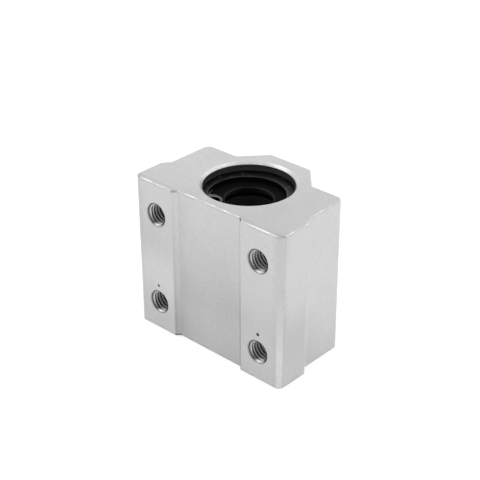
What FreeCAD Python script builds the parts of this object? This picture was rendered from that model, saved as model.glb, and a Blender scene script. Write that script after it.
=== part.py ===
import FreeCAD, Part
import math
import os

import Sketcher
from FreeCAD import Placement, Rotation, Vector

# Linear bearing block, millimetres.
# The block stands on one end face with its bore upright along +Z.
# The origin is on the bore's axis, at the lower end face.
# The mounting face looks along -Y and the humped back along +Y.

SIZES = {
    # Housing outline, seen along the bore
    "block_width": 40.0,
    "block_height": 26.0,
    "block_length": 35.0,
    "flange_thickness": 7.7,
    "flange_step_depth": 1.65,
    "flange_overhang": 1.4,
    "flange_corner_radius": 1.5,
    "flange_step_radius": 0.9,
    "shoulder_height": 20.5,
    "shoulder_corner_radius": 1.6,
    "hump_base_width": 20.8,
    "hump_top_width": 10.7,
    "recess_mouth_width": 18.8,
    "recess_depth": 0.88,
    "recess_edge_radius": 0.7,
    "end_edge_chamfer": 0.2,
    # Bore and the circlip grooves in it
    "bore_clearance": 0.02,
    "bore_mouth_chamfer": 0.57,
    "clip_groove_depth": 0.5,
    "clip_groove_width": 1.6,
    # Fixing holes in the mounting face
    "hole_spacing_across": 28.0,
    "hole_spacing_along": 21.0,
    "hole_drop": 0.3,
    "tapped_diameter": 5.0,
    "tapped_depth": 12.0,
    "tapped_mouth_diameter": 5.4,
    "through_diameter": 4.3,
    # Two small punch marks, each placed from the lower hole below it
    "mark_diameter": 0.56,
    "mark_depth": 0.15,
    "right_mark_shift": 0.1,
    "right_mark_rise": 4.2,
    "left_mark_rise": 4.0,
    # Circlips, each resting on the bearing in a groove that is wider than the clip
    "clip_thickness": 1.0,
    "clip_play": 0.05,
    "clip_groove_clearance": 0.02,
    "clip_inner_radius": 8.13,
    "clip_offset": 0.6,
    "clip_lug_radius": 2.47,
    "clip_lug_reach": 4.16,
    "clip_eye_diameter": 2.9,
    "clip_eye_rim": 0.5,
    "clip_gap": 2.88,
    "upper_clip_turn": 0.0,
    "lower_clip_turn": 180.0,
    # Bearing sleeve, set in from both ends of the block by the same recess
    "bearing_diameter": 19.0,
    "bearing_recess": 3.5,
    "sleeve_groove_span": 22.0,
    "sleeve_groove_width": 1.3,
    "sleeve_groove_depth": 0.5,
    "sleeve_seat_shoulder": 0.39,
    "raceway_half_angle": 11.0,
    "raceway_land_root": 0.2,
    # Balls and their tracks
    "shaft_diameter": 10.0,
    "ball_diameter": 1.984,
    "ball_shaft_clearance": 0.03,
    "ball_play": 0.016,
    "raceway_clearance": 0.01,
    "track_clearance": 0.04,
    "return_lift": 0.76,
    "track_turn_radius": 1.72,
    "circuit_count": 4,
    # Ball cage
    "cage_shaft_clearance": 0.3,
    "cage_sleeve_clearance": 0.12,
    "cage_end_wall": 1.2,
    "cage_end_play": 0.1,
    # End seals
    "seal_recess": 0.05,
    "seal_thickness": 2.2,
    "seal_seat_clearance": 0.02,
    "seal_lip_clearance": 0.02,
    "seal_lip_bevel": 0.2,
    "seal_lip_land": 0.3,
    "seal_lip_flare": 0.6,
}

# Places that follow from the sizes, each in the frame of the piece that it belongs to
PLACES = {
    # Housing outline
    "flange_side": "Sizes.block_width / 2",
    "shoulder_side": "flange_side - Sizes.flange_overhang",
    "front": "-Sizes.block_height / 2",
    "back": "Sizes.block_height / 2",
    "step_start": "front + Sizes.flange_thickness",
    "step_end": "step_start + Sizes.flange_step_depth",
    "shoulder": "front + Sizes.shoulder_height",
    "hump_base": "Sizes.hump_base_width / 2",
    "hump_top": "Sizes.hump_top_width / 2",
    "recess_mouth": "Sizes.recess_mouth_width / 2",
    "recess_side": "recess_mouth - Sizes.recess_depth",
    "recess_floor": "front + Sizes.recess_depth",
    "block_end": "Sizes.block_length",
    # Bore, from its lower mouth to its upper mouth
    "sleeve_radius": "Sizes.bearing_diameter / 2",
    "bore_radius": "sleeve_radius + Sizes.bore_clearance",
    "mouth_radius": "bore_radius + Sizes.bore_mouth_chamfer",
    "clip_groove_radius": "bore_radius + Sizes.clip_groove_depth",
    "sleeve_low": "Sizes.bearing_recess",
    "sleeve_high": "block_end - Sizes.bearing_recess",
    "upper_clip_low": "sleeve_high + Sizes.clip_play",
    "lower_clip_high": "sleeve_low - Sizes.clip_play",
    "upper_groove_low": "upper_clip_low - Sizes.clip_play",
    "upper_groove_high": "upper_groove_low + Sizes.clip_groove_width",
    "lower_groove_high": "lower_clip_high + Sizes.clip_play",
    "lower_groove_low": "lower_groove_high - Sizes.clip_groove_width",
    "upper_mouth_start": "block_end - Sizes.bore_mouth_chamfer",
    "lower_mouth_start": "Sizes.bore_mouth_chamfer",
    # Fixing holes and marks
    "hole_side": "Sizes.hole_spacing_across / 2",
    "hole_low": "(block_end - Sizes.hole_spacing_along) / 2 - Sizes.hole_drop",
    "hole_high": "hole_low + Sizes.hole_spacing_along",
    "through_radius": "Sizes.through_diameter / 2",
    "mark_radius": "Sizes.mark_diameter / 2",
    "right_mark_side": "hole_side + Sizes.right_mark_shift",
    "right_mark_up": "hole_low + Sizes.right_mark_rise",
    "left_mark_up": "hole_low + Sizes.left_mark_rise",
    # Circlip, flat in its own frame with its gap towards -Y
    "clip_outer_radius": "clip_groove_radius - Sizes.clip_groove_clearance",
    "clip_inner_radius": "Sizes.clip_inner_radius",
    "clip_offset": "Sizes.clip_offset",
    "clip_gap_side": "Sizes.clip_gap / 2",
    "lug_radius": "Sizes.clip_lug_radius",
    "lug_inside": "clip_groove_radius - Sizes.clip_lug_reach",
    "lug_distance": "lug_inside + lug_radius",
    "lug_side": "clip_gap_side + lug_radius",
    "lug_down": "sqrt(lug_distance ^ 2 - lug_side ^ 2)",
    "eye_radius": "Sizes.clip_eye_diameter / 2",
    "eye_distance": "lug_inside + Sizes.clip_eye_rim + eye_radius",
    "eye_side": "clip_gap_side + Sizes.clip_eye_rim + eye_radius",
    "eye_down": "sqrt(eye_distance ^ 2 - eye_side ^ 2)",
    "gap_inside": "lug_down - 2 * lug_radius",
    "gap_outside": "clip_outer_radius + lug_radius",
    # Ball rows, about the middle plane of a circuit
    "ball_radius": "Sizes.ball_diameter / 2",
    "loaded_row_radius": "Sizes.shaft_diameter / 2 + Sizes.ball_shaft_clearance + ball_radius",
    "return_row_radius": "loaded_row_radius + Sizes.return_lift",
    "track_half_width": "ball_radius + Sizes.track_clearance",
    "turn_radius": "Sizes.track_turn_radius",
    "loaded_row_in": "sqrt(loaded_row_radius ^ 2 - turn_radius ^ 2)",
    "return_row_in": "sqrt(return_row_radius ^ 2 - turn_radius ^ 2)",
    "loaded_row_turn": "atan(turn_radius / loaded_row_in)",
    "raceway_radius": "loaded_row_radius + ball_radius + Sizes.raceway_clearance",
    "relief_radius": "return_row_radius + track_half_width",
    # Sleeve, from its own lower end
    "sleeve_length": "sleeve_high - sleeve_low",
    "sleeve_groove_radius": "sleeve_radius - Sizes.sleeve_groove_depth",
    "sleeve_groove_a": "(sleeve_length - Sizes.sleeve_groove_span) / 2",
    "sleeve_groove_b": "sleeve_groove_a + Sizes.sleeve_groove_width",
    "sleeve_groove_d": "sleeve_length - sleeve_groove_a",
    "sleeve_groove_c": "sleeve_groove_d - Sizes.sleeve_groove_width",
    "seat_radius": "relief_radius + Sizes.sleeve_seat_shoulder",
    "seat_low": "Sizes.seal_recess + Sizes.seal_thickness",
    "seat_high": "sleeve_length - seat_low",
    # Cage, from its own lower end
    "cage_length": "sleeve_length - 2 * seat_low - 2 * Sizes.cage_end_play",
    "cage_inner_radius": "Sizes.shaft_diameter / 2 + Sizes.cage_shaft_clearance",
    "cage_outer_radius": "raceway_radius - Sizes.cage_sleeve_clearance",
    "track_floor": "return_row_in - track_half_width",
    "track_outer_turn": "turn_radius + track_half_width",
    "track_inner_turn": "turn_radius - track_half_width",
    "turn_low": "Sizes.cage_end_wall + track_outer_turn",
    "turn_high": "cage_length - turn_low",
    "slot_low": "turn_low - track_half_width",
    "slot_high": "turn_high + track_half_width",
    "cage_low": "sleeve_low + seat_low + Sizes.cage_end_play",
    # Raceway lands, from the sleeve's own lower end
    "land_low": "turn_low + seat_low + Sizes.cage_end_play",
    "land_high": "sleeve_length - land_low",
    "land_root_radius": "relief_radius + Sizes.raceway_land_root",
    "land_root_low": "land_low - (land_root_radius - raceway_radius)",
    "land_root_high": "sleeve_length - land_root_low",
    # Seal, from its inner side
    "seal_outer_radius": "seat_radius - Sizes.seal_seat_clearance",
    "seal_height": "Sizes.seal_thickness",
    "lip_radius": "Sizes.shaft_diameter / 2 + Sizes.seal_lip_clearance",
    "lip_bevel_radius": "lip_radius + Sizes.seal_lip_bevel",
    "lip_high": "seal_height - Sizes.seal_lip_bevel",
    "lip_low": "lip_high - Sizes.seal_lip_land",
    "lip_root_radius": "lip_radius + Sizes.seal_lip_flare",
    "upper_seal_low": "sleeve_high - Sizes.seal_recess - seal_height",
    "lower_seal_high": "sleeve_low + Sizes.seal_recess + seal_height",
}

UP = Vector(0, 0, 1)
TOLERANCE = 1e-4

document = FreeCAD.newDocument("LinearBearingBlock")


def fill_sheet(name, rows):
    """A sheet with one row for each value: its name beside its cell, which carries the name as alias."""
    sheet = document.addObject("Spreadsheet::Sheet", name)
    for row, (alias, content) in enumerate(rows.items(), start=1):
        sheet.set(f"A{row}", alias)
        sheet.setAlias(f"B{row}", alias)
        sheet.set(f"B{row}", str(content))
    document.recompute()
    return sheet


sizes = fill_sheet("Sizes", SIZES)
places = fill_sheet("Places", {alias: "=" + formula for alias, formula in PLACES.items()})


def place(name):
    """The expression and the number for a place, which may be mirrored with a minus sign."""
    if name == "0":
        return "0", 0.0
    alias = name.lstrip("-")
    number = float(places.get(alias))
    if name.startswith("-"):
        return f"-Places.{alias}", -number
    return f"Places.{alias}", number


def value(name):
    """The number for a place, without its unit."""
    return place(name)[1]


# Sketch helpers

def new_body(label):
    body = document.addObject("PartDesign::Body", label)
    body.Label = label
    return body


def origin_feature(body, role):
    return next(item for item in body.Origin.OriginFeatures if item.Role == role)


def new_sketch(body, name, role, offset=None):
    """A sketch on one of the body's origin planes, moved along the plane's normal by an expression."""
    sketch = body.newObject("Sketcher::SketchObject", name)
    sketch.AttachmentSupport = [(origin_feature(body, role), "")]
    sketch.MapMode = "FlatFace"
    if offset:
        sketch.setExpression("AttachmentOffset.Base.z", offset)
    return sketch


def bind(sketch, constraint, expression):
    index = sketch.addConstraint(constraint)
    sketch.setExpression(f"Constraints[{index}]", expression)


def pin_point(sketch, geometry, end, across, up):
    """Holds a point of the sketch at two places measured from the sketch's origin."""
    for kind, name in (("DistanceX", across), ("DistanceY", up)):
        expression, number = place(name)
        bind(sketch, Sketcher.Constraint(kind, -1, 1, geometry, end, number), expression)


def add_outline(sketch, corners):
    """A closed outline of straight lines through the corners, each a pair of places."""
    points = [Vector(value(across), value(up), 0) for across, up in corners]
    count = len(corners)
    first = sketch.GeometryCount
    for index, point in enumerate(points):
        sketch.addGeometry(Part.LineSegment(point, points[(index + 1) % count]))
    for index, (across, up) in enumerate(corners):
        following = (index + 1) % count
        sketch.addConstraint(Sketcher.Constraint("Coincident", first + index, 2, first + following, 1))
        pin_point(sketch, first + index, 1, across, up)


def add_circle(sketch, across, up, radius):
    centre = Vector(value(across), value(up), 0)
    circle = sketch.addGeometry(Part.Circle(centre, UP, value(radius)))
    pin_point(sketch, circle, 3, across, up)
    expression, number = place(radius)
    bind(sketch, Sketcher.Constraint("Radius", circle, number), expression)


def add_racetrack(sketch, low, high, radius):
    """Two upright lines joined by half circles about the points low and high on the upright axis."""
    reach = value(radius)
    bottom = Vector(0, value(low), 0)
    top = Vector(0, value(high), 0)
    side = Vector(reach, 0, 0)
    right = sketch.addGeometry(Part.LineSegment(bottom + side, top + side))
    upper = sketch.addGeometry(Part.ArcOfCircle(Part.Circle(top, UP, reach), 0, math.pi))
    left = sketch.addGeometry(Part.LineSegment(top - side, bottom - side))
    lower = sketch.addGeometry(Part.ArcOfCircle(Part.Circle(bottom, UP, reach), math.pi, 2 * math.pi))
    for before, after in ((right, upper), (upper, left), (left, lower), (lower, right)):
        sketch.addConstraint(Sketcher.Constraint("Tangent", before, 2, after, 1))
    pin_point(sketch, upper, 3, "0", high)
    pin_point(sketch, lower, 3, "0", low)
    sketch.addConstraint(Sketcher.Constraint("Equal", upper, lower))
    expression, number = place(radius)
    bind(sketch, Sketcher.Constraint("Radius", upper, number), expression)


# Feature helpers

def add_pad(body, name, sketch, length):
    pad = body.newObject("PartDesign::Pad", name)
    pad.Profile = sketch
    pad.setExpression("Length", length)
    document.recompute()
    return pad


def add_pocket(body, name, sketch, length, reverse=False):
    """A cut that goes against the sketch's normal, or along it when it is reversed."""
    before = body.Shape.Volume
    pocket = body.newObject("PartDesign::Pocket", name)
    pocket.Profile = sketch
    pocket.Reversed = reverse
    pocket.setExpression("Length", length)
    document.recompute()
    check_cut(body, name, before)
    return pocket


def add_turned(body, kind, name, sketch, angle=None):
    """A revolution or a groove about the sketch's upright axis, whole or a symmetric part of a turn."""
    turned = body.newObject(kind, name)
    turned.Profile = sketch
    turned.ReferenceAxis = (sketch, ["V_Axis"])
    if angle:
        turned.Midplane = True
        turned.setExpression("Angle", angle)
    document.recompute()
    return turned


def add_hole(body, name, sketch, diameter, depth=None):
    before = body.Shape.Volume
    hole = body.newObject("PartDesign::Hole", name)
    hole.Profile = sketch
    document.recompute()
    hole.ThreadType = "None"
    hole.setExpression("Diameter", diameter)
    if depth:
        hole.DepthType = "Dimension"
        hole.setExpression("Depth", depth)
    else:
        hole.DepthType = "ThroughAll"
    document.recompute()
    check_cut(body, name, before)
    return hole


def check_cut(body, name, before):
    if body.Shape.Volume > before - TOLERANCE:
        raise RuntimeError(f"{name} cuts nothing from {body.Label}")


def dress_edges(body, kind, name, size, names):
    """Fillets or chamfers the named edges of the body's last feature."""
    dressed = body.newObject(kind, name)
    dressed.Base = (body.Tip if body.Tip != dressed else dressed.BaseFeature, names)
    dressed.setExpression("Radius" if kind.endswith("Fillet") else "Size", size)
    document.recompute()
    return dressed


def upright_edges(shape, corners):
    """Names of the upright edges that stand on the given corners, on both sides of the middle plane."""
    wanted = [(value(across), value(up)) for across, up in corners]
    names = []
    for number, edge in enumerate(shape.Edges, start=1):
        first, last = (vertex.Point for vertex in (edge.Vertexes[0], edge.Vertexes[-1]))
        if abs(first.x - last.x) > TOLERANCE or abs(first.y - last.y) > TOLERANCE:
            continue
        for across, up in wanted:
            if abs(abs(first.x) - across) < TOLERANCE and abs(first.y - up) < TOLERANCE:
                names.append(f"Edge{number}")
    return names


def level_edges(shape, heights):
    """Names of the edges that lie wholly at one of the given heights."""
    names = []
    for number, edge in enumerate(shape.Edges, start=1):
        box = edge.BoundBox
        for height in heights:
            if abs(box.ZMin - height) < TOLERANCE and abs(box.ZMax - height) < TOLERANCE:
                names.append(f"Edge{number}")
    return names


def repeat_round(body, name, originals, count):
    """Repeats features evenly about the body's upright axis."""
    pattern = body.newObject("PartDesign::PolarPattern", name)
    pattern.Originals = originals
    pattern.Axis = (origin_feature(body, "Z_Axis"), [""])
    pattern.Angle = 360
    pattern.setExpression("Occurrences", count)
    body.Tip = pattern
    document.recompute()
    return pattern


def set_height(body, expression):
    body.setExpression("Placement.Base.z", expression)


# Housing

def make_housing():
    """One block: extruded outline, rounded corners, stepped bore, tapped holes and punch marks."""
    body = new_body("housing")
    right_half = [
        ("recess_side", "recess_floor"),
        ("recess_mouth", "front"),
        ("flange_side", "front"),
        ("flange_side", "step_start"),
        ("shoulder_side", "step_end"),
        ("shoulder_side", "shoulder"),
        ("hump_base", "shoulder"),
        ("hump_top", "back"),
    ]
    left_half = [("-" + across, up) for across, up in reversed(right_half)]
    outline = new_sketch(body, "BlockOutline", "XY_Plane")
    add_outline(outline, right_half + left_half)
    add_pad(body, "Block", outline, "Sizes.block_length")

    def round_corners(name, radius, corners):
        edges = upright_edges(body.Shape, corners)
        dress_edges(body, "PartDesign::Fillet", name, radius, edges)

    round_corners("FlangeCorners", "Sizes.flange_corner_radius", [("flange_side", "front")])
    round_corners("ShoulderCorners", "Sizes.shoulder_corner_radius", [("shoulder_side", "shoulder")])
    round_corners("FlangeSteps", "Sizes.flange_step_radius", [("flange_side", "step_start")])
    recess_edges = [("recess_side", "recess_floor"), ("recess_mouth", "front")]
    round_corners("RecessEdges", "Sizes.recess_edge_radius", recess_edges)
    end_edges = level_edges(body.Shape, [0, value("block_end")])
    dress_edges(body, "PartDesign::Chamfer", "EndEdges", "Sizes.end_edge_chamfer", end_edges)

    bore = new_sketch(body, "BoreProfile", "XZ_Plane")
    add_outline(bore, [
        ("0", "0"),
        ("mouth_radius", "0"),
        ("bore_radius", "lower_mouth_start"),
        ("bore_radius", "lower_groove_low"),
        ("clip_groove_radius", "lower_groove_low"),
        ("clip_groove_radius", "lower_groove_high"),
        ("bore_radius", "lower_groove_high"),
        ("bore_radius", "upper_groove_low"),
        ("clip_groove_radius", "upper_groove_low"),
        ("clip_groove_radius", "upper_groove_high"),
        ("bore_radius", "upper_groove_high"),
        ("bore_radius", "upper_mouth_start"),
        ("mouth_radius", "block_end"),
        ("0", "block_end"),
    ])
    before = body.Shape.Volume
    add_turned(body, "PartDesign::Groove", "Bore", bore)
    check_cut(body, "Bore", before)

    holes = new_sketch(body, "HoleCentres", "XZ_Plane", "-Places.front")
    for across in ("hole_side", "-hole_side"):
        for up in ("hole_low", "hole_high"):
            add_circle(holes, across, up, "through_radius")
    add_hole(body, "ThroughHoles", holes, "Sizes.through_diameter")
    tapped = add_hole(body, "TappedHoles", holes, "Sizes.tapped_diameter", "Sizes.tapped_depth")
    tapped.HoleCutType = "Countersink"
    tapped.HoleCutCustomValues = True
    tapped.setExpression("HoleCutDiameter", "Sizes.tapped_mouth_diameter")
    tapped.HoleCutCountersinkAngle = 90
    tapped.DrillPoint = "Flat"
    document.recompute()

    marks = new_sketch(body, "MarkCentres", "XZ_Plane", "-Places.front")
    add_circle(marks, "right_mark_side", "right_mark_up", "mark_radius")
    add_circle(marks, "-hole_side", "left_mark_up", "mark_radius")
    punched = add_hole(body, "PunchMarks", marks, "Sizes.mark_diameter", "Sizes.mark_depth")
    punched.DrillPoint = "Flat"
    return body


# Circlips

def make_clip(label, height, turn, face_down):
    """Sprung ring, widest opposite its gap, with a rounded lug and an eye at each end."""
    body = new_body(label)
    ring = new_sketch(body, "RingOutline", "XY_Plane")
    add_circle(ring, "0", "0", "clip_outer_radius")
    add_circle(ring, "0", "-clip_offset", "clip_inner_radius")
    add_pad(body, "Ring", ring, "Sizes.clip_thickness")
    for side in ("lug_side", "-lug_side"):
        lug = new_sketch(body, "LugOutline", "XY_Plane")
        add_circle(lug, side, "-lug_down", "lug_radius")
        add_pad(body, "Lug", lug, "Sizes.clip_thickness")
    rim = new_sketch(body, "RimOutline", "XY_Plane")
    add_circle(rim, "0", "0", "clip_outer_radius")
    add_circle(rim, "0", "0", "gap_outside")
    add_pocket(body, "LugRims", rim, "Sizes.clip_thickness", reverse=True)
    gap = new_sketch(body, "GapOutline", "XY_Plane")
    add_outline(gap, [
        ("-clip_gap_side", "-gap_inside"),
        ("clip_gap_side", "-gap_inside"),
        ("clip_gap_side", "-gap_outside"),
        ("-clip_gap_side", "-gap_outside"),
    ])
    add_pocket(body, "Gap", gap, "Sizes.clip_thickness", reverse=True)
    eyes = new_sketch(body, "EyeOutline", "XY_Plane")
    add_circle(eyes, "eye_side", "-eye_down", "eye_radius")
    add_circle(eyes, "-eye_side", "-eye_down", "eye_radius")
    add_pocket(body, "Eyes", eyes, "Sizes.clip_thickness", reverse=True)
    body.Placement = Placement(Vector(), Rotation(UP, 1))
    body.setExpression("Placement.Rotation.Angle", turn)
    set_height(body, f"{height} - Sizes.clip_thickness" if face_down else height)
    return body


# Bearing

def make_sleeve():
    """Hardened tube with outer grooves, end seats, and raised raceway lands between return channels."""
    body = new_body("bearing_sleeve")
    section = new_sketch(body, "SleeveSection", "XZ_Plane")
    add_outline(section, [
        ("seat_radius", "0"),
        ("sleeve_radius", "0"),
        ("sleeve_radius", "sleeve_groove_a"),
        ("sleeve_groove_radius", "sleeve_groove_a"),
        ("sleeve_groove_radius", "sleeve_groove_b"),
        ("sleeve_radius", "sleeve_groove_b"),
        ("sleeve_radius", "sleeve_groove_c"),
        ("sleeve_groove_radius", "sleeve_groove_c"),
        ("sleeve_groove_radius", "sleeve_groove_d"),
        ("sleeve_radius", "sleeve_groove_d"),
        ("sleeve_radius", "sleeve_length"),
        ("seat_radius", "sleeve_length"),
        ("seat_radius", "seat_high"),
        ("relief_radius", "seat_high"),
        ("relief_radius", "seat_low"),
        ("seat_radius", "seat_low"),
    ])
    add_turned(body, "PartDesign::Revolution", "Sleeve", section)
    land = new_sketch(body, "LandSection", "XZ_Plane")
    add_outline(land, [
        ("raceway_radius", "land_low"),
        ("land_root_radius", "land_root_low"),
        ("land_root_radius", "land_root_high"),
        ("raceway_radius", "land_high"),
    ])
    raceway = add_turned(body, "PartDesign::Revolution", "RacewayLand", land, "2 * Sizes.raceway_half_angle")
    repeat_round(body, "RacewayLands", [raceway], "Sizes.circuit_count")
    body.Placement = Placement(Vector(), Rotation(UP, -1))
    body.setExpression("Placement.Rotation.Angle", "-Places.loaded_row_turn")
    set_height(body, "Places.sleeve_low")
    return body


def make_cage():
    """Resin tube with a closed oval track for each circuit, open to the shaft along its loaded row."""
    body = new_body("ball_cage")
    ring = new_sketch(body, "CageOutline", "XY_Plane")
    add_circle(ring, "0", "0", "cage_outer_radius")
    add_circle(ring, "0", "0", "cage_inner_radius")
    add_pad(body, "Cage", ring, "Places.cage_length")

    track = new_sketch(body, "TrackOutline", "YZ_Plane", "Places.track_floor")
    add_racetrack(track, "turn_low", "turn_high", "track_outer_turn")
    add_racetrack(track, "turn_low", "turn_high", "track_inner_turn")
    track_depth = "Places.cage_outer_radius - Places.track_floor"
    track_cut = add_pocket(body, "Track", track, track_depth, reverse=True)

    slot = new_sketch(body, "SlotOutline", "XY_Plane", "Places.slot_low")
    add_circle(slot, "loaded_row_in", "-turn_radius", "track_half_width")
    slot_cut = add_pocket(body, "LoadedSlot", slot, "Places.slot_high - Places.slot_low", reverse=True)

    repeat_round(body, "Tracks", [track_cut, slot_cut], "Sizes.circuit_count")
    set_height(body, "Places.cage_low")
    return body


def make_seal(label, height, flip):
    """Bonded end ring, flat outside, whose bore flares out inwards from a lip that wipes the shaft."""
    body = new_body(label)
    section = new_sketch(body, "SealSection", "XZ_Plane")
    add_outline(section, [
        ("lip_root_radius", "0"),
        ("seal_outer_radius", "0"),
        ("seal_outer_radius", "seal_height"),
        ("lip_bevel_radius", "seal_height"),
        ("lip_radius", "lip_high"),
        ("lip_radius", "lip_low"),
    ])
    add_turned(body, "PartDesign::Revolution", "Seal", section)
    body.Placement = Placement(Vector(), Rotation(Vector(1, 0, 0), 180 if flip else 0))
    set_height(body, height)
    return body


# Balls

def make_ball():
    """A ball as a solid of 20 equal flats whose corners lie on the true sphere."""
    golden = (1 + math.sqrt(5)) / 2
    corners = []
    for short in (-1, 1):
        for long in (-golden, golden):
            corners += [Vector(0, short, long), Vector(short, long, 0), Vector(long, 0, short)]
    scale = value("ball_radius") / corners[0].Length

    def joined(first, second):
        return abs((first - second).Length - 2) < TOLERANCE

    flats = []
    for a, first in enumerate(corners):
        for b, second in enumerate(corners[:a]):
            for third in corners[:b]:
                if joined(first, second) and joined(second, third) and joined(third, first):
                    points = [first * scale, second * scale, third * scale, first * scale]
                    flats.append(Part.Face(Part.makePolygon(points)))
    return Part.makeSolid(Part.makeShell(flats))


def row_heights(low, high, pitch):
    """Evenly spread ball heights from low to high, no closer than the pitch."""
    gaps = math.floor((high - low) / pitch + TOLERANCE)
    return [low + (high - low) * index / gaps for index in range(gaps + 1)]


def circuit_centres():
    """Ball centres round one closed track, about the cage's own frame."""
    pitch = value("ball_radius") * 2 + float(sizes.ball_play)
    turn = value("turn_radius")
    low = value("turn_low")
    high = value("turn_high")
    loaded_in = value("loaded_row_in")
    return_in = value("return_row_in")
    centres = [Vector(loaded_in, -turn, level) for level in row_heights(low, high, pitch)]

    # In each turn the balls follow from the loaded row's end, a pitch apart along chords
    step = 2 * math.asin(pitch / (2 * turn))
    last = math.floor(math.radians(150) / step)
    angles = [step * index for index in range(1, last + 1)]
    for angle in angles:
        across = -turn * math.cos(angle)
        rise = turn * math.sin(angle)
        centres += [Vector(return_in, across, high + rise), Vector(return_in, across, low - rise)]

    # The return row starts a pitch past the last turning ball
    aside = turn + turn * math.cos(angles[-1])
    drop = math.sqrt(pitch ** 2 - aside ** 2) - turn * math.sin(angles[-1])
    centres += [Vector(return_in, turn, level) for level in row_heights(low + drop, high - drop, pitch)]
    return centres


def make_circuit(label, ball, turn):
    """All the balls of one track, each a solid of its own."""
    circuit = document.addObject("Part::Feature", label)
    circuit.Label = label
    balls = []
    for centre in circuit_centres():
        copy = ball.copy()
        copy.translate(centre)
        balls.append(copy)
    circuit.Shape = Part.makeCompound(balls)
    circuit.Placement = Placement(Vector(0, 0, value("cage_low")), Rotation(UP, turn))
    return circuit


def build():
    pieces = [
        make_housing(),
        make_clip("circlip_top", "Places.upper_clip_low", "Sizes.upper_clip_turn", face_down=False),
        make_clip("circlip_bottom", "Places.lower_clip_high", "Sizes.lower_clip_turn", face_down=True),
        make_sleeve(),
        make_cage(),
        make_seal("seal_top", "Places.upper_seal_low", flip=False),
        make_seal("seal_bottom", "Places.lower_seal_high", flip=True),
    ]
    ball = make_ball()
    circuits = int(sizes.circuit_count)
    for index in range(circuits):
        pieces.append(make_circuit(f"ball_circuit_{index + 1}", ball, 360 * index / circuits))
    document.recompute()
    return pieces


def check_document(pieces):
    """Stops if any feature failed or any piece isn't a valid solid shape."""
    for item in document.Objects:
        if {"Invalid", "Error"} & set(item.State):
            raise RuntimeError(f"{item.Name} failed: {item.State}")
    for piece in pieces:
        if piece.Shape.isNull() or not piece.Shape.isValid() or not piece.Shape.Solids:
            raise RuntimeError(f"{piece.Label} isn't a valid solid")


def export(pieces):
    os.makedirs("parts", exist_ok=True)
    for piece in pieces:
        piece.Shape.exportStep(f"parts/{piece.Label}.step")
        print(piece.Label, len(piece.Shape.Solids), "solids", round(piece.Shape.Volume, 2), "mm3")


block_pieces = build()
check_document(block_pieces)
export(block_pieces)
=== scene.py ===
import math

import bmesh
import bpy
from mathutils import Matrix, Vector


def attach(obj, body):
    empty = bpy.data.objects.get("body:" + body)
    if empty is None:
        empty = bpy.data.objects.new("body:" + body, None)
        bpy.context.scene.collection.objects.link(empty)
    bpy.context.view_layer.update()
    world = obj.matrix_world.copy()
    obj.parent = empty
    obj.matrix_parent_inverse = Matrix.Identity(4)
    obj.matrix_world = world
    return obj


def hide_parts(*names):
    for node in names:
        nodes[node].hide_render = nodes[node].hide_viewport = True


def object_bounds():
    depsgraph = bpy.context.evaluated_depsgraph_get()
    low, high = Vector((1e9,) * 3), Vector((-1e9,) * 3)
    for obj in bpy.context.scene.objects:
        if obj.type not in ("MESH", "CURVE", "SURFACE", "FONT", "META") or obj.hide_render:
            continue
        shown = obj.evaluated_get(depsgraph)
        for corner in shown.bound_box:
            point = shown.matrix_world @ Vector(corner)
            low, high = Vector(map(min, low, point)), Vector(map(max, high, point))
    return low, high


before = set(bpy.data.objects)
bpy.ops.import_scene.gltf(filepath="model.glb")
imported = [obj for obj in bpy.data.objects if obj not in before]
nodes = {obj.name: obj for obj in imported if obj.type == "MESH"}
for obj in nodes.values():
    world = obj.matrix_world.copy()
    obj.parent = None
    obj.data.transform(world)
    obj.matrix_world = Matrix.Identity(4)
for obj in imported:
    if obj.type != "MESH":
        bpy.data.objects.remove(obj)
cad_box = [list(corner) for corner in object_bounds()]
MM = 0.001

# Camera: where the photograph was taken from, in the frame of the block
CAMERA_AZIMUTH = math.radians(42.6017)
CAMERA_ELEVATION = math.radians(29.5322)
CAMERA_ROLL = math.radians(-0.19557)
CAMERA_PLACE = Vector((151.7963, -167.8378, 149.8794)) * MM
CAMERA_SENSOR = 36.0
CAMERA_LENS = 1252.19 / 480 * CAMERA_SENSOR

# Places on the block, as in the source. Pairs are a start and an end
FRONT = cad_box[0][1]
MIDDLE = cad_box[1][2] / 2
END_CHAMFER = 0.2 * MM
SHOULDER_START = FRONT + 9.35 * MM
SHOULDER_STEP = (8 * MM, 12 * MM)
RECESS_SLOPE = (8.35 * MM, 9.5 * MM)
RECESS_FLOOR = FRONT + 0.88 * MM
CORNER_START = (17.6 * MM, 18.9 * MM)
CORNER_BEND = (18.9 * MM, 19.88 * MM)
SIDE_FACE = (19.93 * MM, 19.98 * MM)
BORE_RADIUS = 9.52 * MM
BORE_MOUTH_RADIUS = 10.2 * MM

# Fixing holes: M5 threads with a pitch of 0.8, cut back by the countersunk mouths
HOLE_SIDE = 14.0 * MM
HOLE_MIDDLE = 17.2 * MM
HOLE_LIFT = 10.5 * MM
HOLE_RADIUS = 2.5 * MM
THROUGH_RADIUS = 2.15 * MM
TAPPED_DEPTH = 12.0 * MM
MOUTH_RADIUS = 2.7 * MM
MOUTH_RIM = (2.62 * MM, 2.74 * MM)
MOUTH_DEPTH = MOUTH_RADIUS - HOLE_RADIUS
THREAD_PITCH = 0.8 * MM
THREAD_SEAT = 0.03 * MM
THREAD_CREST = 2.07 * MM
THREAD_CREST_WIDTH = 0.12 * MM
THREAD_ROOT_WIDTH = 0.72 * MM
THREAD_FLANK_SHARES = (0, 0.35, 0.7, 1)
THREAD_LENGTH = 11.6 * MM
THREAD_STEPS = 56
THREAD_MERGE = 0.0002 * MM

# Punch marks: place across and up, how far the dark reaches, and its tone
PUNCH_MARKS = (
    (14.1 * MM, 10.9 * MM, 0.42 * MM, 0.004),
    (-14.0 * MM, 10.7 * MM, 0.392 * MM, 0.22),
)

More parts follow.
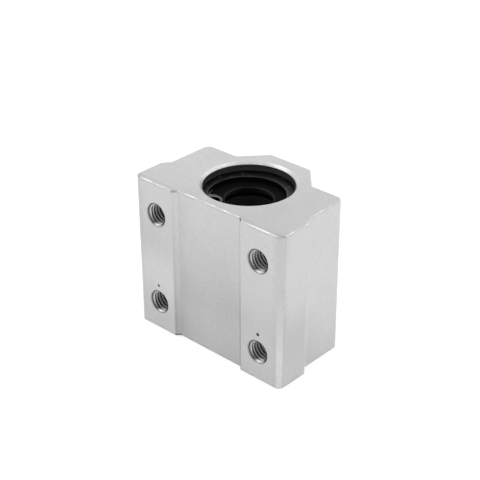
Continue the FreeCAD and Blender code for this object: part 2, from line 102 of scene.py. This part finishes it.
# Places in the bearing that its finishes follow
CLIP_GROOVE_RADIUS = 10.02 * MM
CLIP_DEPTH = 2.45 * MM
CLIP_INNER_RADIUS = 8.13 * MM
CLIP_OFFSET = 0.6 * MM
LUG_SIDE = 3.91 * MM
LUG_DOWN = 7.35 * MM
LUG_RADIUS = 2.47 * MM
LIP_RADIUS = 5.02 * MM
LIP_BEVEL = 0.2 * MM
BALL_RADIUS = 0.992 * MM
BALL_WELD = 0.001 * MM
BALL_SUBDIVISIONS = 4

# Tones of the block, and the painted shade of its bore wall and of the circlip grooves
ALUMINIUM_TONE = 0.56
BORE_WALL_SHADE = 0.16
GROOVE_SHADE = 0.02

# Studio
FLOOR_SIZE = 3.0
FLOOR_DROP = 0.02 * MM
FLOOR_TONE = 0.4
FLOOR_GLOW = 0.62
WORLD_STRENGTH = 1.05

# Area lights: name, place, target, size, power in watts, and whether reflections show it
LIGHTS = (
    ("overhead", (0, -0.05, 0.6), (0, 0, 0.02), (0.5, 0.5), 1.42, False),
    ("front_left", (-0.41, -0.34, 0.48), (0, 0, 0.035), (0.35, 0.25), 0.5, True),
    ("right_low", (0.42, 0.46, 0.1), (0, 0, 0.018), (0.4, 0.15), 0.3, True),
)


def make_camera():
    flat = Vector((math.sin(CAMERA_AZIMUTH), -math.cos(CAMERA_AZIMUTH), 0))
    back = flat * math.cos(CAMERA_ELEVATION) + Vector((0, 0, math.sin(CAMERA_ELEVATION)))
    right = Vector((math.cos(CAMERA_AZIMUTH), math.sin(CAMERA_AZIMUTH), 0))
    up = back.cross(right)
    rolled_right = right * math.cos(CAMERA_ROLL) + up * math.sin(CAMERA_ROLL)
    rolled_up = up * math.cos(CAMERA_ROLL) - right * math.sin(CAMERA_ROLL)
    data = bpy.data.cameras.new("camera")
    data.sensor_width = CAMERA_SENSOR
    data.lens = CAMERA_LENS
    data.clip_start = 0.01
    data.clip_end = 10
    camera = bpy.data.objects.new("camera", data)
    bpy.context.scene.collection.objects.link(camera)
    turn = Matrix((rolled_right, rolled_up, back)).transposed()
    camera.matrix_world = Matrix.Translation(CAMERA_PLACE) @ turn.to_4x4()
    bpy.context.scene.camera = camera


# Fields and finishes

def compute(tree, operation, *terms):
    """One arithmetic node, whose terms are fields or numbers."""
    node = tree.nodes.new("ShaderNodeMath")
    node.operation = operation
    for index, term in enumerate(terms):
        if isinstance(term, Field):
            tree.links.new(term.socket, node.inputs[index])
        else:
            node.inputs[index].default_value = term
    return Field(tree, node.outputs["Value"])


class Field:
    """A number or colour that changes over a surface, with arithmetic that adds nodes."""

    def __init__(self, tree, socket):
        self.tree = tree
        self.socket = socket

    def __add__(self, other):
        return compute(self.tree, "ADD", self, other)

    def __sub__(self, other):
        return compute(self.tree, "SUBTRACT", self, other)

    def __rsub__(self, other):
        return compute(self.tree, "SUBTRACT", other, self)

    def __mul__(self, other):
        return compute(self.tree, "MULTIPLY", self, other)

    def __neg__(self):
        return compute(self.tree, "MULTIPLY", self, -1.0)

    def __abs__(self):
        return compute(self.tree, "ABSOLUTE", self)

    def squared(self):
        return compute(self.tree, "POWER", self, 2.0)

    def root(self):
        return compute(self.tree, "SQRT", self)

    def sign(self):
        return compute(self.tree, "SIGN", self)

    def at_least(self, other):
        return compute(self.tree, "MAXIMUM", self, other)

    def ramp(self, low, high, start=0.3, end=0.7):
        """Goes from low at start to high at end, and stays level outside them."""
        node = self.tree.nodes.new("ShaderNodeMapRange")
        node.inputs["From Min"].default_value = start
        node.inputs["From Max"].default_value = end
        node.inputs["To Min"].default_value = low
        node.inputs["To Max"].default_value = high
        self.tree.links.new(self.socket, node.inputs["Value"])
        return Field(self.tree, node.outputs["Result"])

    def band(self, start, end, blur):
        """One between two values and zero outside them, with blurred ends."""
        rise = self.ramp(0.0, 1.0, start - blur / 2, start + blur / 2)
        fall = self.ramp(1.0, 0.0, end - blur / 2, end + blur / 2)
        return rise * fall

    def grey(self, low, high):
        """A colour ramp between two greys."""
        node = self.tree.nodes.new("ShaderNodeValToRGB")
        for element, position, tone in zip(node.color_ramp.elements, (0.3, 0.7), (low, high)):
            element.position = position
            element.color = (tone, tone, tone * 1.004, 1)
        self.tree.links.new(self.socket, node.inputs["Fac"])
        return Field(self.tree, node.outputs["Color"])


def distance(first, second):
    """How far the point is from the axis where both coordinates are zero."""
    return (first.squared() + second.squared()).root()


def blend(share, first, second):
    """Mixes two colours or grey numbers by a share from 0 to 1."""
    node = share.tree.nodes.new("ShaderNodeMix")
    node.data_type = "RGBA"
    share.tree.links.new(share.socket, node.inputs["Factor"])
    for socket, colour in ((node.inputs[6], first), (node.inputs[7], second)):
        if isinstance(colour, Field):
            share.tree.links.new(colour.socket, socket)
        else:
            socket.default_value = (colour, colour, colour, 1)
    return Field(share.tree, node.outputs[2])


class Finish:
    """A material, and the fields that it is painted with."""

    def __init__(self, name):
        self.material = bpy.data.materials.new(name)
        self.material.use_nodes = True
        self.tree = self.material.node_tree
        self.shader = self.tree.nodes["Principled BSDF"]

    def place(self):
        """The shaded point's place in the frame of the block, in metres."""
        return self.tree.nodes.new("ShaderNodeTexCoord").outputs["Object"]

    def axes(self):
        """The same place as three fields: across, forward from front to back, and up."""
        split = self.tree.nodes.new("ShaderNodeSeparateXYZ")
        self.tree.links.new(self.place(), split.inputs["Vector"])
        return [Field(self.tree, socket) for socket in split.outputs]

    def noise(self, scale, detail=3.0, roughness=0.5, stretch=(1, 1, 1)):
        """Noise that lies still on the block, stretched along an axis where its number is low."""
        mapping = self.tree.nodes.new("ShaderNodeMapping")
        mapping.inputs["Scale"].default_value = stretch
        texture = self.tree.nodes.new("ShaderNodeTexNoise")
        texture.inputs["Scale"].default_value = scale
        texture.inputs["Detail"].default_value = detail
        texture.inputs["Roughness"].default_value = roughness
        self.tree.links.new(self.place(), mapping.inputs["Vector"])
        self.tree.links.new(mapping.outputs["Vector"], texture.inputs["Vector"])
        return Field(self.tree, texture.outputs["Fac"])

    def put(self, name, value):
        """Sets a socket of the shader to a number or colour, or feeds it from a field."""
        if isinstance(value, Field):
            self.tree.links.new(value.socket, self.shader.inputs[name])
        else:
            self.shader.inputs[name].default_value = value

    def bump(self, *layers):
        """Stacks bumps, each a field with its strength and its depth."""
        normal = None
        for field, strength, depth in layers:
            node = self.tree.nodes.new("ShaderNodeBump")
            node.inputs["Strength"].default_value = strength
            node.inputs["Distance"].default_value = depth
            self.tree.links.new(field.socket, node.inputs["Height"])
            if normal:
                self.tree.links.new(normal, node.inputs["Normal"])
            normal = node.outputs["Normal"]
        self.tree.links.new(normal, self.shader.inputs["Normal"])


# Aluminium

def hole_share_and_painted_light(finish):
    """Share and painted light and shade of the four fixing holes.

    Painted highlights: thread crests are bright near the mouth on the upper left, and at the bottom
    where they catch
    the light. Painted shade: roots and the far walls are dark. The countersink has a painted
    highlight in its upper half, and a painted dark rim below it.
    """
    across, forward, up = finish.axes()
    rise = up - HOLE_MIDDLE
    right = across - across.sign() * HOLE_SIDE
    top = rise - rise.sign() * HOLE_LIFT
    radius = distance(right, top)
    depth = forward - FRONT
    wall = depth.ramp(MOUTH_RADIUS, THROUGH_RADIUS + 0.03 * MM,
                      TAPPED_DEPTH + 0.1 * MM, TAPPED_DEPTH + 0.5 * MM)
    share = (radius - wall).ramp(1.0, 0.0, -0.03 * MM, 0.02 * MM)

    # Painted highlight on the thread crests near the mouth, on the upper left
    lit = (top * 0.35 - right).ramp(0.3, 1.0, 0.0, 0.95 * HOLE_RADIUS)
    near = depth.ramp(1.0, 0.42, 0.7 * MM, 2.4 * MM)
    crest = radius.ramp(0.7, 0.12, THREAD_CREST + 0.03 * MM, HOLE_RADIUS - 0.12 * MM)
    crest = crest * lit * near

    # Painted highlight at the bottom of the hole, where light falls in
    lower_right = right * 0.2 - top * 0.98
    bottom = lower_right.ramp(0.0, 1.0, 0.76 * HOLE_RADIUS, 0.95 * HOLE_RADIUS)
    bottom = bottom * depth.ramp(0.33, 0.68, 0.15 * MM, 0.35 * MM)
    bottom = bottom * depth.ramp(1.0, 0.0, 1.4 * MM, 1.6 * MM)

    upper = (0.1 * HOLE_RADIUS, 0.6 * HOLE_RADIUS)
    shaded = (-top).ramp(1.0, 0.62, 0.3 * HOLE_RADIUS, 0.9 * HOLE_RADIUS)
    mouth = radius.ramp(0.09, 0.5, HOLE_RADIUS + 0.03 * MM, HOLE_RADIUS + 0.1 * MM) * shaded
    light = radius.ramp(0.0, 0.36, HOLE_RADIUS - 0.02 * MM, HOLE_RADIUS + 0.02 * MM)
    mouth = mouth.at_least(light * top.ramp(0.0, 1.0, *upper))
    mouth = mouth.at_least(depth.ramp(0.0, 0.26, 0.5 * MM, 1.3 * MM))
    # Painted shade: a dark rim round the countersink below its upper half
    rim = radius.band(*MOUTH_RIM, 0.04 * MM) * top.ramp(0.5, 0.0, *upper)
    return share, crest.at_least(bottom).at_least(mouth) * (1.0 - rim)


def bore_shares(finish):
    """Two shares: the bore's wall, and the circlip grooves cut in it, which get painted shade."""
    across, forward, up = finish.axes()
    bore = distance(across, forward)
    wall = bore.ramp(1.0, 0.0, BORE_RADIUS + 0.02 * MM, BORE_RADIUS + 0.08 * MM)
    groove = bore.band(BORE_RADIUS + 0.04 * MM, CLIP_GROOVE_RADIUS + 0.2 * MM, 0.04 * MM)
    inside = abs(up - MIDDLE).ramp(1.0, 0.0, MIDDLE - 1.4 * MM, MIDDLE - 1.0 * MM)
    return wall, groove * inside


def mark_share(finish, mark_across, mark_up, reach):
    """One in a punch mark of the mounting face, fading out towards its rim."""
    across, forward, up = finish.axes()
    mark = distance(across - mark_across, up - mark_up)
    front = forward.ramp(1.0, 0.0, FRONT + 0.2 * MM, FRONT + 0.3 * MM)
    return mark.ramp(1.0, 0.0, 0.6 * reach, 1.1 * reach) * front


def edge_highlight_and_shade(finish):
    """How much brighter the end chamfers are painted, as patchy painted highlights, and how much
    painted shade lies beside them.
    """
    across, forward, up = finish.axes()
    level = abs(up - MIDDLE)
    patches = finish.noise(420, detail=3, roughness=0.6)
    front = forward.ramp(1.0, 0.0, FRONT + 1.2 * MM, FRONT + 1.6 * MM)
    flange = forward.band(FRONT + 1.4 * MM, SHOULDER_START, 0.4 * MM)
    shoulder = forward.ramp(0.0, 0.3, SHOULDER_START, SHOULDER_START + 0.4 * MM)
    right_slope = across.band(*RECESS_SLOPE, 0.3 * MM)
    left_slope = (-across).band(*RECESS_SLOPE, 0.3 * MM)

    bore = distance(across, forward)
    chamfer = level.band(MIDDLE - END_CHAMFER, MIDDLE - 0.01 * MM, 0.015 * MM)
    chamfer = chamfer * bore.ramp(0.0, 1.0, BORE_MOUTH_RADIUS, BORE_MOUTH_RADIUS + 0.1 * MM)
    # Painted highlight on the end chamfers, patchy, stronger on the shoulder and flange
    bright = patches.ramp(-0.3, 0.12, 0.42, 0.6) + shoulder + flange * 0.25
    bright = bright - right_slope * front * 0.4

    # Painted shade in a thin line beside the chamfers
    beside = level.band(MIDDLE - 2.6 * END_CHAMFER, MIDDLE - 1.05 * END_CHAMFER, 0.15 * MM)
    shade_beside = left_slope * front * 0.35 + patches.ramp(0.0, 0.2, 0.42, 0.6)
    return chamfer * bright - beside * shade_beside


def top_painted_light(finish):
    """Painted light: how much brighter the end faces are painted towards the humped back and the
    left.
    """
    across, forward, up = finish.axes()
    end_face = abs(up - MIDDLE).ramp(0.0, 1.0, MIDDLE - 0.02 * MM, MIDDLE - 0.01 * MM)
    backward = forward.ramp(-0.015, 0.06, FRONT, -FRONT)
    leftward = across.ramp(0.05, -0.03, -18 * MM, 12 * MM)
    return end_face * (backward + leftward)


def mouth_highlight(finish):
    """Painted highlight: how much brighter the chamfer of the bore's mouth is painted, on the left
    and right and faintly at the back.
    """
    across, forward, _ = finish.axes()
    bore = distance(across, forward)
    chamfer = bore.band(BORE_RADIUS + 0.08 * MM, BORE_MOUTH_RADIUS - 0.02 * MM, 0.04 * MM)
    left = across.ramp(0.3, 0.0, -9.6 * MM, -8.2 * MM)
    right = across.ramp(0.0, 0.3, 5 * MM, 9 * MM)
    far = across.band(-0.6 * MM, 2.8 * MM, 1.2 * MM) * 0.06 + 0.09
    far = far * forward.ramp(0.0, 1.0, 0.0, 3 * MM)
    return chamfer * (left + right + far)


def recess_painted_shade(finish):
    """How much darker the recess is painted: painted shade on the slopes and in the crease, and on
    its floor, most towards the bottom and the lower left.
    """
    across, forward, up = finish.axes()
    side = abs(across)
    slope_start, slope_end = RECESS_SLOPE
    slope = side.band(slope_start, slope_end, 0.25 * MM) * up.ramp(0.17, -0.02, 4 * MM, 24 * MM)
    crease = side.band(slope_end - 0.45 * MM, slope_end - 0.1 * MM, 0.15 * MM)
    crease = crease * up.ramp(0.1, 0.06, 4 * MM, 30 * MM)
    floor = side.ramp(1.0, 0.0, slope_start - 0.1 * MM, slope_start + 0.2 * MM)
    left = across.ramp(1.0, 0.0, -slope_start, 0.0) * up.ramp(0.12, 0.0, 4 * MM, 20 * MM)
    right = across.ramp(0.0, 1.0, -4 * MM, 4 * MM) * up.ramp(0.07, 0.03, 4 * MM, 32 * MM)
    # Painted shade on the recess floor, most towards the bottom and the lower left
    floor_shade = up.ramp(0.02, 0.0, 18 * MM, 31 * MM) + left + right
    inside = forward.ramp(1.0, 0.0, RECESS_FLOOR, RECESS_FLOOR + 0.2 * MM)
    return inside * (slope + crease + floor * floor_shade)


def front_light_and_shade(finish):
    """How much darker the front is painted than the sides: painted shade most at mid height on the
    left and low down, and a painted highlight along the corner bend.
    """
    across, forward, up = finish.axes()
    side = abs(across)
    # Painted shade over the front, with a painted highlight on the corner bend below
    leftward = across.ramp(0.055, 0.035, -18 * MM, 5 * MM)
    belly = up.band(8 * MM, 27 * MM, 12 * MM) * across.ramp(0.1, 0.03, -20 * MM, 15 * MM)
    low = up.ramp(0.09, 0.0, 3 * MM, 15 * MM)
    patch = up.band(9 * MM, 18 * MM, 6 * MM) * across.ramp(-0.09, 0.06, -10 * MM, -7 * MM)
    corner = side.ramp(0.0, 1.0, *CORNER_START) * up.ramp(0.04, 0.08, 18 * MM, 28 * MM)
    glint = side.band(*CORNER_BEND, 0.2 * MM) * up.ramp(0.18, 0.0, 9 * MM, 22 * MM)
    front = forward.ramp(1.0, 0.0, RECESS_FLOOR + 0.2 * MM, RECESS_FLOOR + 0.6 * MM)
    return front * (leftward + belly + low + patch + corner - glint)


def side_painted_shade(finish):
    """Painted shade: how much darker the right side is painted low down, and beside its front
    corner.
    """
    across, forward, up = finish.axes()
    low = up.ramp(0.08, 0.13, 2 * MM, 8 * MM) * up.ramp(1.0, 0.0, 12 * MM, 19 * MM)
    by_corner = up.ramp(0.0, 0.06, 28 * MM, 32 * MM) + up.band(13 * MM, 20 * MM, 6 * MM) * 0.05
    by_corner = by_corner * forward.ramp(1.0, 0.0, -11.8 * MM, -9.5 * MM)
    narrow = forward.ramp(1.0, 0.0, -12.2 * MM, -10.8 * MM)
    narrow = narrow * up.ramp(-0.04, 0.05, 11 * MM, 19 * MM)
    flange = (low + by_corner + narrow) * across.ramp(0.0, 1.0, *SIDE_FACE)

    shoulder = forward.ramp(0.0, 1.0, SHOULDER_START, SHOULDER_START + 1 * MM)
    shoulder = shoulder * across.ramp(0.0, 1.0, *SHOULDER_STEP)
    shoulder = shoulder * forward.ramp(0.12, 0.055, -5 * MM, 2 * MM)
    shoulder = shoulder * up.ramp(1.0, 0.0, 6 * MM, 14 * MM)
    return flange + shoulder


def make_aluminium():
    """Drawn and blasted: fine grain, drawing lines along the bore, clouding, with painted
    highlights and painted shade on its edges and faces, and in its holes.
    """
    finish = Finish("satin_aluminium")
    cloud = finish.noise(120, detail=4)
    speckle = finish.noise(1300, detail=3, roughness=0.65)
    grain = finish.noise(5200, detail=2, roughness=0.6)
    lines = finish.noise(2600, detail=3, stretch=(1, 1, 0.02))
    # Painted highlights and painted shade, as gains and losses on the tone
    painted_light_and_shade = edge_highlight_and_shade(finish) + top_painted_light(finish) + mouth_highlight(finish)
    painted_light_and_shade = painted_light_and_shade - recess_painted_shade(finish) - front_light_and_shade(finish) - side_painted_shade(finish)
    tone = cloud.ramp(0.98, 1.02) * speckle.ramp(0.955, 1.045) * (painted_light_and_shade + 1.0) * ALUMINIUM_TONE

    # Painted light and shade in the fixing holes
    hole, hole_light_and_shade = hole_share_and_painted_light(finish)
    wall, groove = bore_shares(finish)
    colour = blend(hole, tone, hole_light_and_shade)
    # Painted shade on the bore wall and in the circlip grooves
    colour = blend(wall, colour, BORE_WALL_SHADE)
    colour = blend(groove, colour, GROOVE_SHADE)
    for mark_across, mark_up, reach, mark_tone in PUNCH_MARKS:
        colour = blend(mark_share(finish, mark_across, mark_up, reach), colour, mark_tone)
    finish.put("Metallic", 1.0)
    finish.put("Base Color", colour)
    finish.put("Roughness", grain.ramp(0.36, 0.46))
    finish.bump((lines, 0.15, 0.004 * MM), (grain, 0.35, 0.006 * MM))
    return finish.material


# Materials of the bearing

def make_black_steel():
    """Circlips: blackened spring steel, with painted highlights at its rims and painted shade away
    from its outer face.
    """
    finish = Finish("blackened_steel")
    cloud = finish.noise(700, detail=4)
    grain = finish.noise(6000, detail=2)
    flecks = finish.noise(1100, detail=2).ramp(0.0, 1.0, 0.66, 0.72)
    across, forward, up = finish.axes()
    toward_gap = forward * (up - MIDDLE).sign()
    ring = distance(across, toward_gap + CLIP_OFFSET)
    ring_rim_highlight = ring.ramp(1.0, 0.0, CLIP_INNER_RADIUS + 0.05 * MM, CLIP_INNER_RADIUS + 0.3 * MM)
    lug = distance(abs(across) - LUG_SIDE, toward_gap + LUG_DOWN)
    lug_rim_highlight = lug.band(LUG_RADIUS - 0.16 * MM, LUG_RADIUS + 0.1 * MM, 0.08 * MM)
    rim_highlights = ring_rim_highlight.at_least(lug_rim_highlight * 0.6)
    clip_level = MIDDLE - CLIP_DEPTH
    outer_face = abs(up - MIDDLE).ramp(0.0, 1.0, clip_level - 0.08 * MM, clip_level - 0.02 * MM)
    # Painted highlights at the inner rim of the ring and round the lugs
    colour = blend(rim_highlights, cloud.grey(0.009, 0.02), 0.07)
    colour = blend(flecks, colour, 0.2)
    # Painted shade on every face but the outer one
    colour = blend(outer_face, 0.002, colour)
    finish.put("Metallic", 0.6)
    finish.put("Base Color", colour)
    finish.put("Roughness", cloud.ramp(0.28, 0.42))
    finish.bump((grain, 0.3, 0.005 * MM))
    return finish.material


def make_ground_steel():
    """Sleeve: ground bearing steel with fine rings round the bore."""
    finish = Finish("ground_steel")
    rings = finish.noise(3000, detail=3, stretch=(0.05, 0.05, 1))
    finish.put("Metallic", 1.0)
    finish.put("Base Color", rings.grey(0.50, 0.58))
    finish.put("Roughness", rings.ramp(0.18, 0.28))
    finish.bump((rings, 0.2, 0.003 * MM))
    return finish.material


def make_ball_steel():
    """Balls: lapped steel with a faint haze of oil."""
    finish = Finish("ball_steel")
    haze = finish.noise(900, detail=3)
    finish.put("Metallic", 1.0)
    finish.put("Base Color", haze.grey(0.62, 0.66))
    finish.put("Roughness", haze.ramp(0.06, 0.12))
    return finish.material


def make_rubber():
    """Seals: black moulded rubber, faintly oily, with a painted highlight on the lip's bevel,
    uneven round the lip.
    """
    finish = Finish("black_rubber")
    cloud = finish.noise(500, detail=4)
    grain = finish.noise(4000, detail=3)
    across, forward, _ = finish.axes()
    bevel = distance(across, forward).band(LIP_RADIUS, LIP_RADIUS + LIP_BEVEL, 0.04 * MM)
    lip_highlight_side = abs(across + forward).ramp(0.25, 1.0, 0.3 * LIP_RADIUS, 1.2 * LIP_RADIUS)
    finish.put("Specular IOR Level", 0.05)
    # Painted highlight on the lip's bevel
    finish.put("Base Color", blend(bevel * lip_highlight_side, cloud.grey(0.001, 0.002), 0.024))
    finish.put("Roughness", cloud.ramp(0.5, 0.68))
    finish.bump((grain, 0.3, 0.006 * MM))
    return finish.material


def make_resin():
    """Cage: dark moulded resin."""
    finish = Finish("cage_resin")
    cloud = finish.noise(600, detail=4)
    grain = finish.noise(4500, detail=2)
    finish.put("Specular IOR Level", 0.2)
    finish.put("Base Color", cloud.grey(0.012, 0.02))
    finish.put("Roughness", cloud.ramp(0.38, 0.52))
    finish.bump((grain, 0.25, 0.005 * MM))
    return finish.material


def dress(name, material):
    """Gives a carried-over CAD node its finish."""
    mesh = nodes[name].data
    mesh.materials.clear()
    mesh.materials.append(material)


# New pieces

def new_piece(name, mesh_data, material, smooth):
    """Turns mesh data into a piece that rides on the block."""
    mesh = bpy.data.meshes.new(name)
    mesh_data.to_mesh(mesh)
    mesh_data.free()
    mesh.materials.append(material)
    for face in mesh.polygons:
        face.use_smooth = smooth
    piece = bpy.data.objects.new(name, mesh)
    bpy.context.scene.collection.objects.link(piece)
    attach(piece, "root")
    return piece


def thread_section(depth):
    """Outline of the ridge at a depth below the mounting face, cut by the countersink.

    It is a list of corners, each a radius and a depth.
    """
    wall = HOLE_RADIUS + THREAD_SEAT
    half_root = THREAD_ROOT_WIDTH / 2
    half_crest = THREAD_CREST_WIDTH / 2
    flank = []
    for share in THREAD_FLANK_SHARES:
        radius = wall + (THREAD_CREST - wall) * share
        flank.append((radius, half_root + (half_crest - half_root) * share))
    outline = [(radius, depth - half) for radius, half in flank]
    outline += [(radius, depth + half) for radius, half in reversed(flank)]
    cut = []
    for radius, place in outline:
        place = max(place, MOUTH_DEPTH)
        cut.append((max(radius, MOUTH_RADIUS - place), place))
    return cut


def make_thread(name, across, height, material):
    """A right-hand helical ridge, closed at both ends, that grows out of the countersink."""
    first = -THREAD_ROOT_WIDTH / 2 / THREAD_PITCH
    last = (THREAD_LENGTH - MOUTH_DEPTH) / THREAD_PITCH
    count = int((last - first) * THREAD_STEPS)
    mesh = bmesh.new()
    rings = []
    for step in range(1, count + 1):
        turned = first + step / THREAD_STEPS
        angle = 2 * math.pi * turned
        ring = []
        for radius, depth in thread_section(MOUTH_DEPTH + turned * THREAD_PITCH):
            x = across + radius * math.cos(angle)
            z = height - radius * math.sin(angle)
            ring.append(mesh.verts.new((x, FRONT + depth, z)))
        rings.append(ring)
    corners = len(rings[0])
    for before, after in zip(rings, rings[1:]):
        for index in range(corners):
            following = (index + 1) % corners
            mesh.faces.new((before[index], before[following], after[following], after[index]))
    mesh.faces.new(rings[0][::-1])
    mesh.faces.new(rings[-1])
    bmesh.ops.remove_doubles(mesh, verts=mesh.verts, dist=THREAD_MERGE)
    bmesh.ops.recalc_face_normals(mesh, faces=mesh.faces)
    new_piece(name, mesh, material, smooth=False)


def make_threads(material):
    number = 0
    for height in (HOLE_MIDDLE - HOLE_LIFT, HOLE_MIDDLE + HOLE_LIFT):
        for side in (-1, 1):
            number += 1
            make_thread(f"thread_{number}", side * HOLE_SIDE, height, material)


def ball_centres(node):
    """The middle of each separate ball in a circuit's node."""
    mesh = bmesh.new()
    mesh.from_mesh(node.data)
    bmesh.ops.remove_doubles(mesh, verts=mesh.verts, dist=BALL_WELD)
    seen = set()
    centres = []
    for first in mesh.verts:
        if first in seen:
            continue
        ball = [first]
        seen.add(first)
        for vertex in ball:
            for edge in vertex.link_edges:
                other = edge.other_vert(vertex)
                if other not in seen:
                    seen.add(other)
                    ball.append(other)
        centres.append(sum((vertex.co for vertex in ball), Vector()) / len(ball))
    mesh.free()
    return centres


def make_balls(material):
    """True spheres in place of the faceted balls of each circuit."""
    for name in sorted(nodes):
        if not name.startswith("ball_circuit"):
            continue
        mesh = bmesh.new()
        for centre in ball_centres(nodes[name]):
            bmesh.ops.create_icosphere(mesh, subdivisions=BALL_SUBDIVISIONS, radius=BALL_RADIUS,
                                       matrix=Matrix.Translation(centre))
        row_name = name.replace("circuit", "row")
        piece = new_piece(row_name, mesh, material, smooth=True)
        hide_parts(name)


# Studio

def make_floor():
    """A plain pale floor just under the block, which glows a little."""
    finish = Finish("pale_floor")
    finish.put("Base Color", (FLOOR_TONE, FLOOR_TONE, FLOOR_TONE, 1))
    finish.put("Emission Color", (1, 1, 1, 1))
    finish.put("Emission Strength", FLOOR_GLOW)
    finish.put("Roughness", 0.9)
    finish.put("Specular IOR Level", 0.1)
    corners = [(x * FLOOR_SIZE, y * FLOOR_SIZE, 0) for x, y in ((-1, -1), (1, -1), (1, 1), (-1, 1))]
    mesh = bpy.data.meshes.new("floor")
    mesh.from_pydata(corners, [], [(0, 1, 2, 3)])
    mesh.materials.append(finish.material)
    floor = bpy.data.objects.new("floor", mesh)
    floor.location.z = -FLOOR_DROP
    bpy.context.scene.collection.objects.link(floor)


def make_light(name, place, target, size, power, in_reflections):
    data = bpy.data.lights.new(name, "AREA")
    data.shape = "RECTANGLE"
    data.size, data.size_y = size
    data.energy = power
    light = bpy.data.objects.new(name, data)
    light.location = place
    light.visible_glossy = in_reflections
    toward = Vector(target) - Vector(place)
    light.rotation_euler = toward.to_track_quat("-Z", "Y").to_euler()
    bpy.context.scene.collection.objects.link(light)


def make_world():
    world = bpy.data.worlds.new("studio")
    world.use_nodes = True
    background = world.node_tree.nodes["Background"]
    background.inputs["Color"].default_value = (1, 1, 1, 1)
    background.inputs["Strength"].default_value = WORLD_STRENGTH
    bpy.context.scene.world = world


def make_studio():
    make_floor()
    make_world()
    for light in LIGHTS:
        make_light(*light)
    bpy.context.scene.view_settings.view_transform = "Standard"
    bpy.context.scene.view_settings.look = "None"


make_camera()
aluminium = make_aluminium()
black_steel = make_black_steel()
rubber = make_rubber()
dress("housing", aluminium)
for end in ("top", "bottom"):
    dress(f"circlip_{end}", black_steel)
    dress(f"seal_{end}", rubber)
dress("bearing_sleeve", make_ground_steel())
dress("ball_cage", make_resin())
make_threads(aluminium)
make_balls(make_ball_steel())
make_studio()
